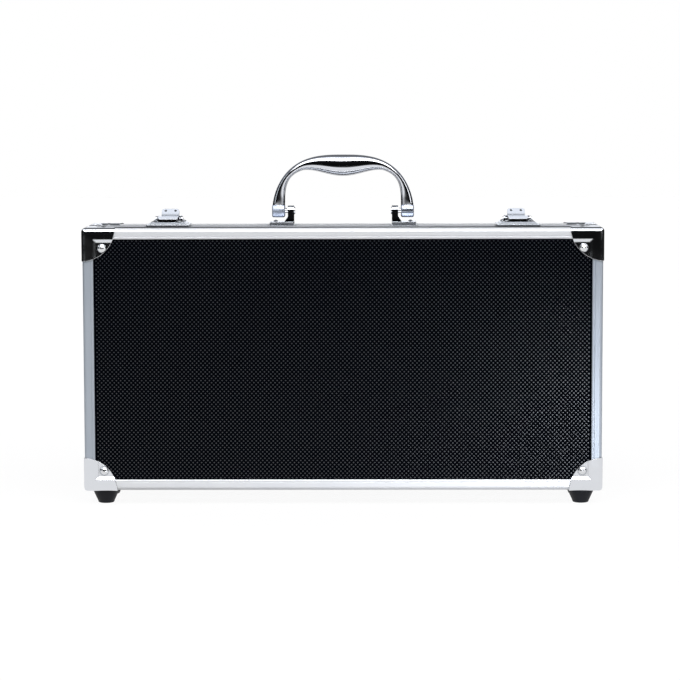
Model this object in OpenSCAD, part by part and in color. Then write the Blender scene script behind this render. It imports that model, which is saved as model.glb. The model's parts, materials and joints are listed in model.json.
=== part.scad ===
// Hard makeup case: two board shells in aluminium frames, closed by two draw latches.
// +X is the width, +Z is up, and the lid is the front shell, on the -Y side of the seam at y = 0.
// The origin is on the floor under the middle of the case. All sizes are in millimetres.

/* [Case] */
// Width of the closed case
case_w = 430; // [360:5:600]
// Height of the closed case, without its feet
case_h = 218; // [160:2:400]
// Depth of one shell, from the seam to its outer face
shell_d = 40; // [40:1:80]
// Radius of the outer edges
edge_r = 3.3; // [2:0.1:4]

/* [Boards and lining] */
// Thickness of the two face panels
panel_t = 3.2; // [2.5:0.1:4]
// Thickness of the wall boards
wall_t = 3.2; // [2.5:0.1:4]
// Gap left round each board in its channel
board_gap = 0.1; // [0.05:0.05:0.3]
// Thickness of the lining
lining_t = 2; // [1:0.25:4]

/* [Edge extrusions] */
// Width of the extrusion on the face
edge_face_w = 9; // [8:0.5:12]
// Width of the extrusion on the walls
edge_side_w = 10; // [9:0.5:12]
// Wall thickness of the aluminium profiles
profile_t = 1.4; // [1:0.1:2]
// Thickness of the profiles' inner legs
inner_leg_t = 1; // [0.8:0.1:1.5]
// Width of the rounded bead beside the panel
bead_w = 2; // [1.5:0.1:2.5]
// Width of the fine groove beside the bead
groove_w = 0.6; // [0.3:0.1:1]

/* [Closing profiles] */
// Width of a closing profile on the walls
rim_w = 12; // [11:0.5:16]
// Thickness of a closing profile's web at the seam
rim_web = 5; // [4.5:0.1:7]
// Thickness of the tongue that enters the lid
tongue_t = 1.4; // [1:0.1:1.6]
// Height of the tongue
tongue_h = 3; // [2:0.1:3.2]
// Clearance round the tongue, on its outer side and at its tip
tongue_gap = 0.3; // [0.2:0.05:0.5]
// Clearance on the tongue's inner side, which the swinging lid needs
tongue_swing = 1; // [0.8:0.05:1.1]

/* [Corner protectors] */
// Reach of a corner protector along each edge
corner_reach = 28; // [26:0.5:28]
// Thickness of the corner sheet
corner_t = 0.8; // [0.5:0.1:1.2]
// Width of the bevel that steps down to the board
corner_bevel = 2.5; // [1.5:0.1:2.8]
// Distance of the rivets from the outer faces
rivet_inset = 16.3; // [15.5:0.1:17]

/* [Rivets and screws] */
// Diameter of a corner rivet's head
rivet_head_d = 7.3; // [5:0.1:7.5]
// Height of a corner rivet's head
rivet_head_h = 2; // [1.2:0.1:2.6]
// Diameter of a rivet's shank
rivet_d = 3.2; // [2.4:0.1:3.6]
// Diameter of the small rivets of the latches, hinges and brackets
small_rivet_d = 2.4; // [2:0.1:3]
// Clearance between a shank and its hole, on the radius
shank_gap = 0.1; // [0.05:0.05:0.2]

/* [Feet] */
// Height of a foot
foot_h = 11.5; // [6:0.5:16]
// Diameter of a foot at the case
foot_top_d = 21.5; // [16:0.5:24]
// Diameter of a foot at the floor
foot_bottom_d = 13.8; // [11:0.2:15]
// Radius of a foot's lower edge
foot_r = 1.5; // [0.5:0.1:1.5]

/* [Hinges] */
// Distance of each hinge's middle from the case's side
hinge_inset = 85; // [55:1:125]
// Length of a hinge
hinge_len = 40; // [30:1:50]
// Thickness of the hinge leaves
leaf_t = 1.2; // [1:0.1:1.4]
// Outer radius of the knuckles
knuckle_r = 2.2; // [2:0.1:2.3]
// Radius of the hinge pins
hinge_pin_r = 1.1; // [0.8:0.05:1.2]
// Distance of the hinge axis below the case
hinge_drop = 2.5; // [2.5:0.1:3]

/* [Latches] */
// Distance of each latch's middle from the case's side
latch_inset = 68.5; // [50:0.5:105]
// Width of the latch plates
latch_w = 35.5; // [34:0.5:40]
// Thickness of the latch plates
latch_plate_t = 1.8; // [1.6:0.1:2.4]
// Width of the raised tier on the plates
tier_w = 31; // [29:0.5:32]
// Height of the raised tier
tier_t = 1.7; // [1.7:0.1:2]
// Width of the hook
hook_w = 17; // [14:0.5:17]
// Thickness of the hook
hook_t = 1; // [0.8:0.1:1.2]
// Thickness of the ears and of the lever's sides
ear_t = 1.2; // [1:0.1:1.4]
// Radius of the latch pins
latch_pin_r = 1; // [0.8:0.05:1.1]
// Diameter of the two dimples in the lever's tab
dimple_d = 2; // [1.5:0.1:2.5]
// Distance between the two dimples
dimple_pitch = 8.3; // [6:0.1:10]

/* [Handle] */
// Width over the outside of the handle
handle_w = 119.2; // [116:0.2:150]
// Height of the handle's top above its pins
handle_h = 47; // [43:0.2:60]
// Clear width between the legs
handle_clear_w = 97.6; // [90:0.2:101]
// Height of the arch's inner curve above the pins, without the grip's swelling
handle_clear_h = 36.1; // [32:0.1:38]
// Extra thickness of the grip, on its underside
grip_bulge = 7; // [3:0.2:10]
// Length of the swollen grip
grip_len = 66; // [50:1:80]
// Depth of the grip, front to back
grip_depth = 16; // [12:0.5:20]
// Depth of the legs, front to back
leg_depth = 9.6; // [8:0.2:12]
// Height of the handle pins above the case
handle_pin_z = 12.4; // [12:0.2:16]
// Distance of the handle pins behind the seam
handle_y = 10.5; // [10:0.5:13]
// Radius of the handle pins
handle_pin_r = 2; // [1.5:0.1:2.2]
// Running clearance round every moving pin, on the radius
pin_gap = 0.05; // [0.02:0.01:0.08]

/* [Hidden] */

$fn = 48;
SIDES = ["top", "bottom", "left", "right"];
HANDS = ["left", "right"];
FLAPS = ["face", "wall", "side"]; // the three flaps of a corner protector
ALUMINIUM = [0.87, 0.89, 0.91];
CHROME = [0.72, 0.74, 0.78];
STEEL = [0.62, 0.64, 0.68];
BOARD = [0.045, 0.055, 0.085];
RUBBER = [0.03, 0.03, 0.035];
LINING = [0.07, 0.07, 0.08];
cut = 20; // overshoot of cutting shapes
lap = 1; // overlap of shapes that join in one piece
bottom_z = foot_h + corner_t; // height of the case's underside
mid_z = bottom_z + case_h / 2;
half_w = case_w / 2;
half_h = case_h / 2;
hinge_x = half_w - hinge_inset; // places of the hinges and latches from the middle
latch_x = half_w - latch_inset;

// Depths of the profile's channels, from the outer surface inwards
recess = profile_t; // how far the boards lie below the frame's surface
wall_in = profile_t + wall_t; // inner surface of the wall boards
core = wall_in + inner_leg_t; // inner surface of the profiles' legs on the walls
panel_in = profile_t + panel_t; // inner surface of the face panels
face_core = panel_in + inner_leg_t; // inner surface of the profiles' legs on the faces
web_w = core + 1.2 * inner_leg_t; // width of the closing profile's web
tongue_v = wall_in - tongue_t; // distance of the tongue from the outer surface
lining_in = core + board_gap + lining_t; // inner surface of the lining's walls
tail_t = 0.7; // thickness of a rivet's tail
tail_share = 0.8; // a tail's radius is this share of the shank's diameter
mitre_gap = 0.05; // hairline on each side of a mitre
tip_gap = 0.3; // distance of the extrusions' tips from the corners' rounding
pin_head_t = 0.8; // thickness of the pins' heads
small_head_d = 3.8; // head of a small rivet
small_head_h = 1;
blind_gap = 0.1; // a blind rivet ends this far short of the lining

// Feet
foot_rim_h = 1.5; // height of a foot's straight rim at the case
spigot_gap = 0.3;
screw_head_r = 3.4;
screw_head_h = 2;
screw_gap = 0.3;
screw_seat = 4.2; // height of the screw's seat above the floor
slot_w = 0.8; // width of the cross in the screw's head
slot_depth = 1;

// Hinge
hinge_z = -half_h - hinge_drop; // height of the axis from the middle of the case
hinge_gap = 0.4; // gap between knuckles
leaf_w = rim_w - 0.8;
mid_knuckle = hinge_len / 3;
head_inset = 0.2; // the hinge pin's heads lie this far inside the knuckles
hinge_rivet_y = rim_w - 4;
hinge_rivet_x = hinge_len / 2 - 4.5;

// Latch, measured from the seam and from the case's top surface
seam_gap = 0.5; // distance of plates from the seam
latch_top = latch_plate_t + tier_t;
lever_y = 8; // lever pin
lever_z = latch_top + 2.2;
toggle_r = 4; // distance from the lever pin to the hook pin
toggle_drop = 0.3; // the hook pin lies below the lever pin, past dead centre
hook_pin_y = lever_y + toggle_r;
hook_pin_z = lever_z - toggle_drop;
hook_z = lever_z + latch_pin_r + 0.3; // underside of the hook
nose_gap = 0.3; // clearance between the hook's nose and the strike
lug_y = 6.8; // front of the strike's lug
lug_w = hook_w - 4;
lug_h = 2.3;
lug_t = 1.4;
plate_l = 22; // length of the plate on the base
side_x = hook_w / 2 + 0.3; // inner surface of the lever's sides
ear_x = side_x + ear_t + 0.2; // inner surface of the ears
lever_l = 22.6; // distance of the foot of the lever's tab behind the seam
tab_l = 7; // length of the leaning tab
tab_lean = 40; // the tab leans back by this angle from upright
tab_embed = 1.4; // part of the tab that lies in the lever's top
dimple_drop = 2.1; // distance of the dimples from the tab's tip
dimple_depth = 0.7;
slot_l = 8.4; // the lever's top starts this far behind its pin
boss_r = 1.7; // radius of the bosses round the latch pins
ear_r = 2.1;
latch_bevel = 0.3;
tier_inset = 0.8; // the tier lies this far inside the plate, front and back
tier_bevel = 1.5; // slope round the tier
latch_rivet_x = tier_w / 2 - tier_bevel - small_head_d / 2;
nose_rise = 1.9; // height of the slope on the hook's nose
nose_run = 1.8; // its depth
nose_inner = 1.2; // height of the slope inside the nose
strike_rivet_y = rim_w / 2;
plate_rivet_y = 17;
lever_top = lever_z + 2.2;
tab_w = 15;
tab_r = 2.6;
hook_r = 2; // radius of the hook's corners, seen from above
latch_head_lip = 0.5; // how far a latch pin's head stands out beyond the pin

// Handle and brackets
leg_in = handle_clear_w / 2;
leg_out = handle_w / 2;
lug_r = 7; // radius of the handle's ends, seen from the side
lug_low = 5.6; // their flat underside, below the pins
lug_top = 4.6;
lug_corner_r = 1.5;
lug_shoulder = 0.4; // the lugs stand this far proud of the legs, front and back
end_inset = 0.2;
ear_gap = 2.4; // free pin between a leg and its bracket
bracket_ear_t = 5.2;
bracket_in = leg_in - ear_gap - bracket_ear_t;
bracket_w = 20.2;
bracket_x = bracket_in + bracket_w / 2;
bracket_rivet_x = 5.6;
web_foot = 2.8; // foot of the web between the bracket's ear and its plate
bracket_plate_t = 2.3;
bracket_flange_t = 1;
bracket_top = bracket_plate_t + bracket_flange_t;
bracket_l = 19;
flange_lip = 0.5; // the bracket's flange stands out this far round its plate
flange_bevel = 0.8;
barrel_r = 4.2;
pin_grip = 8; // depth of a pin in the handle's leg
pin_end_gap = 0.3; // clearance beyond the pin's end
handle_head_lip = 1;
arch_n = 2.9; // how square the outer curve of the arch is, across
arch_m = 1.9; // and upwards
clear_n = 4; // how square the inner curve is
oval_n = 0.8; // how square the ovals across the arch are
arch_steps = 40;
arch_sides = 16;
arch_from = 6; // the first ring's angle, above the handle's ends

function power(x, n) = sign(x) * pow(abs(x), n);
// How much the grip swells, from 0 at its ends to 1 in the middle
function swell(x) = abs(x) < grip_len / 2 ? pow(cos(180 * x / grip_len), 2) * 0.6
    + 0.4 * (1 - pow(2 * abs(x) / grip_len, 2)) : 0;
// Angle of a ring on the curves, so that the rings lie evenly along the inner curve
function arch_angle(t) = acos(power(cos(t), clear_n / 2));
function arch_outer(a) = [leg_out * power(cos(a), 2 / arch_n), handle_h * power(sin(a), 2 / arch_m)];
function arch_inner(a) = let (x = leg_in * power(cos(a), 2 / clear_n))
    [x, handle_clear_h * power(sin(a), 2 / clear_n) - grip_bulge * swell(x)];
function arch_depth(a) = let (x = arch_inner(a)[0])
    leg_depth + (grip_depth - leg_depth) * swell(x);
// A ring of the arch: an oval between a point of the outer curve and one of the inner curve
function oval(o, i, depth) = let (m = (o + i) / 2, r = (o - i) / 2)
    [for (k = [0:arch_sides - 1])
        let (b = 360 * k / arch_sides, c = power(cos(b), oval_n), s = power(sin(b), oval_n))
            [m[0] + r[0] * c, depth / 2 * s, m[1] + r[1] * c]];
function arch_ring(a) = oval(arch_outer(a), arch_inner(a), arch_depth(a));
// The level ring just inside one of the handle's ends
function end_ring(s) = let (z = lug_top - lap / 2)
    oval([s * (leg_out - end_inset), z], [s * (leg_in + end_inset), z], leg_depth);

// Cutter that rounds the corner at the origin of a profile lying in +x and -y
module edge_cut(r) {
    difference() {
        translate([-1, -r]) square([r + 1, r + 1]);
        translate([r, -r]) circle(r);
    }
}

// Rectangle with round corners
module round_rect(w, h, r) {
    union() {
        square([w - 2 * r, h], center = true);
        square([w, h - 2 * r], center = true);
        for (sx = [-1, 1], sy = [-1, 1])
            translate([sx * (w / 2 - r), sy * (h / 2 - r)]) circle(r);
    }
}

// Block with bevelled upper edges, standing on z = 0 and centred on x; y0 is its front
module bevel_block(w, y0, l, h, b) {
    intersection() {
        translate([0, y0 + l + cut, 0]) rotate([90, 0, 0]) linear_extrude(height = l + 2 * cut)
            polygon([[-w / 2, 0], [w / 2, 0], [w / 2, h - b], [w / 2 - b, h],
                [-w / 2 + b, h], [-w / 2, h - b]]);
        translate([-w, 0, 0]) rotate([90, 0, 90]) linear_extrude(height = 2 * w)
            polygon([[y0, 0], [y0 + l, 0], [y0 + l, h - b], [y0 + l - b, h], [y0 + b, h], [y0, h - b]]);
    }
}

// Places children, drawn as a base half centred on the case, in one of the two shells
module in_shell(shell) {
    translate([0, 0, mid_z])
        if (shell == "lid") mirror([0, 1, 0]) children();
        else children();
}

// Places children, drawn against the left side, at one of the four sides
module at_side(side) {
    if (side == "left") children();
    if (side == "right") mirror([1, 0, 0]) children();
    if (side == "bottom") rotate([0, -90, 0]) children();
    if (side == "top") mirror([0, 0, 1]) rotate([0, -90, 0]) children();
}

function across(side) = side == "left" || side == "right" ? case_w : case_h;
function along(side) = side == "left" || side == "right" ? case_h : case_w;

// Profile run along one side and cut to 45 degree mitres
module mitred_run(side, depth) {
    l = along(side);
    e = l / 2 - mitre_gap;
    translate([-across(side) / 2, 0, 0])
        intersection() {
            linear_extrude(height = l, center = true) children();
            rotate([90, 0, 0]) linear_extrude(height = 4 * shell_d, center = true)
                polygon([[0, -e], [0, e], [depth, e - depth], [depth, depth - e]]);
        }
}

// Cross-section of an edge extrusion: x is inwards from the wall's surface, y is from the seam outwards
module edge_profile() {
    difference() {
        union() {
            translate([0, shell_d - face_core]) square([core, face_core]);
            translate([0, shell_d - profile_t]) square([edge_face_w - bead_w / 2, profile_t]);
            translate([edge_face_w - bead_w / 2, shell_d - bead_w / 2]) circle(bead_w / 2);
            translate([0, shell_d - face_core]) square([edge_face_w - 1, inner_leg_t]);
            translate([0, shell_d - edge_side_w]) square([profile_t, edge_side_w]);
            translate([wall_in, shell_d - edge_side_w + 1]) square([inner_leg_t, edge_side_w - 1]);
        }
        translate([0, shell_d]) edge_cut(edge_r);
        translate([core, shell_d - panel_in]) square([edge_face_w, panel_t]);
        translate([edge_face_w - bead_w - groove_w / 2, shell_d]) circle(groove_w / 2);
    }
}

// Edge extrusion; its tips stop short of the case's round corners, under the corner protectors
module edge(shell, side) {
    color(ALUMINIUM) in_shell(shell) at_side(side)
        intersection() {
            mitred_run(side, edge_face_w) edge_profile();
            cube([across(side) + cut, 4 * shell_d, along(side) - 2 * (edge_r + tip_gap)], center = true);
        }
}

// Cross-section of a closing profile, with a tongue on the base or a groove in the lid
module rim_profile(shell) {
    difference() {
        union() {
            square([web_w, rim_web]);
            square([profile_t, rim_w]);
            translate([wall_in, 0]) square([inner_leg_t, rim_w]);
            if (shell == "base")
                translate([tongue_v, -tongue_h]) square([tongue_t, tongue_h + lap]);
        }
        if (shell == "lid")
            translate([tongue_v - tongue_gap, -cut])
                square([tongue_gap + tongue_t + tongue_swing, cut + tongue_h + tongue_gap]);
    }
}

module closing_frame(shell) {
    color(ALUMINIUM) in_shell(shell)
        for (side = SIDES)
            difference() {
                at_side(side) intersection() {
                    mitred_run(side, web_w) rim_profile(shell);
                    rotate([90, 0, 0]) linear_extrude(height = 4 * shell_d, center = true)
                        round_rect(across(side), along(side), edge_r);
                }
                rivet_holes(shell, side);
            }
}

// Face panel, a board held in the extrusions' channels
module panel(shell) {
    color(BOARD) in_shell(shell)
        difference() {
            translate([0, shell_d - profile_t, 0]) rotate([90, 0, 0]) linear_extrude(height = panel_t)
                square([case_w - 2 * (core + board_gap), case_h - 2 * (core + board_gap)], center = true);
            corner_rivet_holes();
        }
}

// Four wall boards; the top and bottom ones run between the side ones
module wall_boards(shell) {
    y0 = rim_web + board_gap;
    y1 = shell_d - face_core - board_gap;
    color(BOARD) in_shell(shell)
        difference() {
            for (side = SIDES) {
                upright = side == "left" || side == "right";
                l = along(side) - 2 * (upright ? profile_t : wall_in + board_gap);
                at_side(side) translate([-across(side) / 2 + profile_t, y0, -l / 2])
                    cube([wall_t, y1 - y0, l]);
            }
            corner_rivet_holes();
            rivet_holes(shell, "top");
            rivet_holes(shell, "bottom");
        }
}

// Lining: a floor behind the panel and four walls
module lining(shell) {
    y0 = rim_web + board_gap;
    y1 = shell_d - face_core - board_gap - lining_t;
    in = core + board_gap;
    color(LINING) in_shell(shell) {
        translate([-half_w + in, y1, -half_h + in])
            cube([case_w - 2 * in, lining_t, case_h - 2 * in]);
        for (side = SIDES) {
            upright = side == "left" || side == "right";
            l = along(side) - 2 * (upright ? in : lining_in + board_gap);
            at_side(side) translate([-across(side) / 2 + in, y0, -l / 2])
                cube([lining_t, y1 - board_gap - y0, l]);
        }
    }
}

// Corner of the case from the origin inwards, with its three edges rounded, made t larger than the case
module corner_block(t, size) {
    intersection() {
        linear_extrude(height = size + t) corner_square(t, size);
        rotate([90, 0, 90]) linear_extrude(height = size + t) corner_square(t, size);
        translate([0, size + t, 0]) rotate([90, 0, 0]) linear_extrude(height = size + t)
            corner_square(t, size);
    }
}

// Square from the origin with its corner at the origin rounded
module corner_square(t, size) {
    r = edge_r + t;
    union() {
        translate([r, 0]) square([size + t - r, size + t]);
        translate([0, r]) square([size + t, size + t - r]);
        translate([r, r]) circle(r);
    }
}

// Turns a flap onto one of the corner's three faces: it is drawn in x and y from the vertex, with z inwards
module place_flap(flap) {
    if (flap == "wall") children();
    if (flap == "face") mirror([0, 1, -1]) children();
    if (flap == "side") mirror([1, 0, -1]) children();
}

// Space where a flap lies on its board, beyond the frame's borders
module board_space(flap) {
    by = flap == "face" ? edge_face_w : edge_side_w;
    translate([edge_face_w, by, -cut]) cube([cut * 2, cut * 2, cut + recess]);
}

// Bevelled pocket that steps a flap's outside down to its board
module flap_pocket(flap) {
    by = flap == "face" ? edge_face_w : edge_side_w;
    far = cut * 2;
    floor_z = recess - corner_t;
    intersection() {
        translate([0, far, 0]) rotate([90, 0, 0]) linear_extrude(height = far)
            polygon([[edge_face_w, -far], [edge_face_w, -corner_t], [edge_face_w + corner_bevel, floor_z],
                [far, floor_z], [far, -far]]);
        rotate([90, 0, 90]) linear_extrude(height = far)
            polygon([[by, -far], [by, -corner_t], [by + corner_bevel, floor_z], [far, floor_z], [far, -far]]);
    }
}

// Corner protector with its vertex at the origin: x and z along the case's edges, y along its depth
module corner_sheet() {
    difference() {
        intersection() {
            translate([-corner_t, -corner_t, -corner_t]) corner_block(corner_t, corner_reach);
            for (flap = FLAPS)
                place_flap(flap) translate([-corner_t, -corner_t, -corner_t])
                    cylinder(r = corner_reach, h = corner_t + recess, $fn = 96);
        }
        difference() {
            corner_block(0, cut * 2);
            for (flap = FLAPS)
                place_flap(flap) board_space(flap);
        }
        for (flap = FLAPS)
            place_flap(flap) {
                flap_pocket(flap);
                translate([rivet_inset, rivet_inset, -cut])
                    cylinder(r = rivet_d / 2 + shank_gap, h = 2 * cut);
            }
    }
}

// Places children, drawn from a corner's vertex with y inwards, at a corner of the base
module at_corner(level, hand) {
    if (hand == "right") mirror([1, 0, 0]) at_corner(level, "left") children();
    else if (level == "top") mirror([0, 0, 1]) at_corner("bottom", hand) children();
    else translate([-half_w, shell_d, -half_h]) mirror([0, 1, 0]) children();
}

module corner(shell, level, hand) {
    color(CHROME) in_shell(shell) at_corner(level, hand) corner_sheet();
}

// Holes of the corner rivets through the boards
module corner_rivet_holes() {
    for (level = ["top", "bottom"], hand = HANDS)
        at_corner(level, hand)
            for (flap = FLAPS)
                place_flap(flap) translate([rivet_inset, rivet_inset, 0])
                    cylinder(r = rivet_d / 2 + shank_gap, h = core);
}

// Rivet standing through a wall: the domed head lies below z = 0 and the shank runs up to z = l
module rivet(head_d, head_h, shank_d, l, tail) {
    dome_r = (pow(head_d / 2, 2) + pow(head_h, 2)) / (2 * head_h);
    rotate_extrude() {
        intersection() {
            translate([0, dome_r - head_h]) circle(dome_r, $fn = 96);
            translate([0, -head_h]) square([head_d / 2, head_h]);
        }
        square([shank_d / 2, l]);
        if (tail)
            translate([0, l - tail_t]) square([shank_d * tail_share, tail_t]);
    }
}

// Ten rivets: the feet's screws take the place of the two underneath
module corner_rivets(shell) {
    seat = recess - corner_t;
    color(STEEL) in_shell(shell)
        for (level = ["top", "bottom"], hand = HANDS)
            at_corner(level, hand)
                for (flap = FLAPS)
                    if (level == "top" || flap != "wall")
                        place_flap(flap) translate([rivet_inset, rivet_inset, seat])
                            rivet(rivet_head_d, rivet_head_h, rivet_d, wall_in + tail_t - seat, true);
}

// Rubber foot, with its lower face on the floor and a spigot that fills the corner's pocket
module foot(shell, hand) {
    top_r = foot_top_d / 2;
    low_r = foot_bottom_d / 2;
    spigot_r = rivet_inset - edge_side_w - corner_bevel - spigot_gap;
    color(RUBBER) in_shell(shell) at_corner("bottom", hand)
        translate([rivet_inset, rivet_inset, -bottom_z])
            difference() {
                rotate_extrude($fn = 96) {
                    polygon([[0, 0], [low_r - foot_r, 0], [low_r, foot_r], [top_r, foot_h - foot_rim_h],
                        [top_r, foot_h], [0, foot_h]]);
                    translate([low_r - foot_r, foot_r]) circle(foot_r);
                    square([spigot_r, foot_h + recess]);
                }
                translate([0, 0, -lap]) cylinder(r = screw_head_r + screw_gap, h = lap + screw_seat);
                cylinder(r = rivet_d / 2 + shank_gap, h = foot_h + cut);
            }
}

module foot_screws(shell) {
    l = bottom_z - screw_seat + wall_in + tail_t;
    color(STEEL) in_shell(shell)
        for (hand = HANDS)
            at_corner("bottom", hand) translate([rivet_inset, rivet_inset, screw_seat - bottom_z])
                difference() {
                    rivet(2 * screw_head_r, screw_head_h, rivet_d, l, true);
                    for (turn = [0, 90])
                        rotate(turn) translate([-screw_head_r / 2, -slot_w / 2, -screw_head_h - slot_depth])
                            cube([screw_head_r, slot_w, 2 * slot_depth]);
                }
}

// Small rivets that hold the fittings: [side, x, y, height of the seat above the case, on the board]
function lid_rivets() = [
    for (s = [-1, 1], t = [-1, 1]) ["top", s * latch_x + t * latch_rivet_x, strike_rivet_y, latch_top, false],
    for (s = [-1, 1], t = [-1, 1]) ["bottom", s * hinge_x + t * hinge_rivet_x, hinge_rivet_y, leaf_t, false]];
function base_rivets() = [
    for (s = [-1, 1], t = [-1, 1]) ["top", s * latch_x + t * latch_rivet_x, plate_rivet_y, latch_top, true],
    for (s = [-1, 1], t = [-1, 1])
        ["top", s * bracket_x + t * bracket_rivet_x, plate_rivet_y, bracket_top, true],
    for (s = [-1, 1], t = [-1, 1]) ["bottom", s * hinge_x + t * hinge_rivet_x, hinge_rivet_y, leaf_t, false]];
function fitting_rivets(shell) = shell == "lid" ? lid_rivets() : base_rivets();

// Places children, drawn with z inwards from the case's surface, at a point of its top or underside
module at_wall(side, x, y) {
    if (side == "bottom") translate([x, y, -half_h]) children();
    else translate([x, y, half_h]) mirror([0, 0, 1]) children();
}

// Holes of the small rivets, through the fittings and the shell, on one side of the case
module rivet_holes(shell, side) {
    for (r = fitting_rivets(shell))
        if (r[0] == side) at_wall(r[0], r[1], r[2]) translate([0, 0, -cut])
            cylinder(r = small_rivet_d / 2 + shank_gap, h = cut + core + lap);
}

module hardware_rivets(shell) {
    color(STEEL) in_shell(shell)
        for (r = fitting_rivets(shell))
            at_wall(r[0], r[1], r[2]) translate([0, 0, -r[3]])
                rivet(small_head_d, small_head_h, small_rivet_d,
                    r[3] + (r[4] ? wall_in + tail_t : core - blind_gap), r[4]);
}

// Hinge leaf on the underside, with its knuckles on the axis; the lid has the middle one
module hinge_leaf(shell, hand) {
    s = hand == "left" ? -1 : 1;
    clear_r = knuckle_r + hinge_gap;
    mid = mid_knuckle / 2;
    color(STEEL) in_shell(shell)
        difference() {
            translate([s * hinge_x, 0, -half_h]) difference() {
                union() {
                    translate([-hinge_len / 2, 0, -leaf_t]) cube([hinge_len, leaf_w, leaf_t]);
                    translate([-hinge_len / 2, 0, -hinge_drop]) rotate([0, 90, 0])
                        cylinder(r = knuckle_r, h = hinge_len);
                }
                if (shell == "base")
                    translate([-mid - hinge_gap / 2, -clear_r, -cut])
                        cube([2 * mid + hinge_gap, 2 * clear_r, 2 * cut]);
                else
                    for (t = [-1, 1])
                        translate([t * (mid - hinge_gap / 2 + cut / 2 + hinge_len / 2), 0, 0])
                            cube([cut + hinge_len, 2 * clear_r, 2 * cut], center = true);
                translate([-hinge_len, 0, -hinge_drop]) rotate([0, 90, 0])
                    cylinder(r = hinge_pin_r + pin_gap, h = 2 * hinge_len);
            }
            rivet_holes(shell, "bottom");
        }
}

module hinge_pins() {
    color(STEEL) in_shell("base")
        for (s = [-1, 1])
            translate([s * hinge_x - hinge_len / 2, 0, hinge_z]) rotate([0, 90, 0])
                translate([0, 0, -pin_head_t]) {
                    cylinder(r = hinge_pin_r, h = hinge_len + 2 * pin_head_t);
                    for (z = [0, hinge_len + pin_head_t])
                        translate([0, 0, z]) cylinder(r = knuckle_r - head_inset, h = pin_head_t);
                }
}

// Latch plate with its raised tier; behind the closing profile a pad reaches down to the board
module latch_foot(l) {
    bevel_block(latch_w, seam_gap, l, latch_plate_t, latch_bevel);
    bevel_block(tier_w, seam_gap + tier_inset, l - 2 * tier_inset, latch_top, tier_bevel);
    if (l > rim_w)
        translate([-latch_w / 2, rim_w + board_gap, -recess])
            cube([latch_w, l + seam_gap - rim_w - board_gap, recess]);
}

// Places children, drawn from the seam and the case's top surface, at one of the latches
module at_latch(hand) {
    translate([hand == "left" ? -latch_x : latch_x, 0, half_h]) children();
}

module latch_strike(hand) {
    color(CHROME) in_shell("lid")
        difference() {
            at_latch(hand) {
                latch_foot(rim_w - 1);
                translate([-lug_w / 2, lug_y - lug_t, latch_plate_t]) cube([lug_w, lug_t, tier_t + lug_h]);
            }
            rivet_holes("lid", "top");
        }
}

module latch_plate(hand) {
    color(CHROME) in_shell("base")
        difference() {
            at_latch(hand) {
                latch_foot(plate_l);
                for (s = [-1, 1])
                    translate([s * (ear_x + ear_t / 2) - ear_t / 2, 0, 0]) rotate([90, 0, 90])
                        linear_extrude(height = ear_t) {
                            translate([lever_y, lever_z]) circle(ear_r);
                            translate([lever_y - ear_r, latch_plate_t])
                                square([2 * ear_r, lever_z - latch_plate_t]);
                        }
            }
            at_latch(hand) lever_pin_space(latch_pin_r + pin_gap);
            rivet_holes("base", "top");
        }
}

module lever_pin_space(r) {
    translate([-ear_x - ear_t, lever_y, lever_z]) rotate([0, 90, 0]) cylinder(r = r, h = 2 * (ear_x + ear_t));
}

module latch_pins() {
    color(STEEL) in_shell("base")
        for (hand = HANDS)
            at_latch(hand) {
                lever_pin_space(latch_pin_r);
                for (s = [-1, 1])
                    translate([s * (ear_x + ear_t + pin_head_t / 2), lever_y, lever_z]) rotate([0, 90, 0])
                        cylinder(r = latch_pin_r + latch_head_lip, h = pin_head_t, center = true);
            }
}

// Places children, drawn with y along the lever's leaning tab and z out of its front
module at_tab() {
    translate([0, lever_l, lever_top]) rotate([90 - tab_lean, 0, 0]) children();
}

// Lever: two sides on the pins, a top behind the hook and a tab for the finger
module latch_lever(hand) {
    wide = side_x + ear_t;
    color(CHROME) in_shell("base") at_latch(hand)
        difference() {
            union() {
                for (s = [-1, 1])
                    translate([s * (side_x + ear_t / 2) - ear_t / 2, 0, 0]) rotate([90, 0, 90])
                        linear_extrude(height = ear_t) {
                            translate([lever_y, lever_z]) circle(boss_r);
                            translate([hook_pin_y, hook_pin_z]) circle(boss_r);
                            translate([lever_y, lever_z]) square([lever_l - lever_y, lever_top - lever_z]);
                        }
                translate([-wide, lever_y + slot_l, lever_top - ear_t])
                    cube([2 * wide, lever_l - lever_y - slot_l, ear_t]);
                at_tab() translate([0, (tab_l - tab_embed) / 2, -ear_t])
                    linear_extrude(height = ear_t) round_rect(tab_w, tab_l + tab_embed, tab_r);
            }
            translate([-cut, lever_y, lever_z]) rotate([0, 90, 0])
                cylinder(r = latch_pin_r + pin_gap, h = 2 * cut);
            translate([-cut, hook_pin_y, hook_pin_z]) rotate([0, 90, 0])
                cylinder(r = latch_pin_r + pin_gap, h = 2 * cut);
            for (s = [-1, 1])
                at_tab() translate([s * dimple_pitch / 2, tab_l - dimple_drop, -dimple_depth])
                    cylinder(r = dimple_d / 2, h = dimple_depth + lap);
        }
}

module hook_pin(hand) {
    l = side_x + ear_t;
    color(STEEL) in_shell("base") at_latch(hand)
        translate([-l, hook_pin_y, hook_pin_z]) rotate([0, 90, 0]) cylinder(r = latch_pin_r, h = 2 * l);
}

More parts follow.
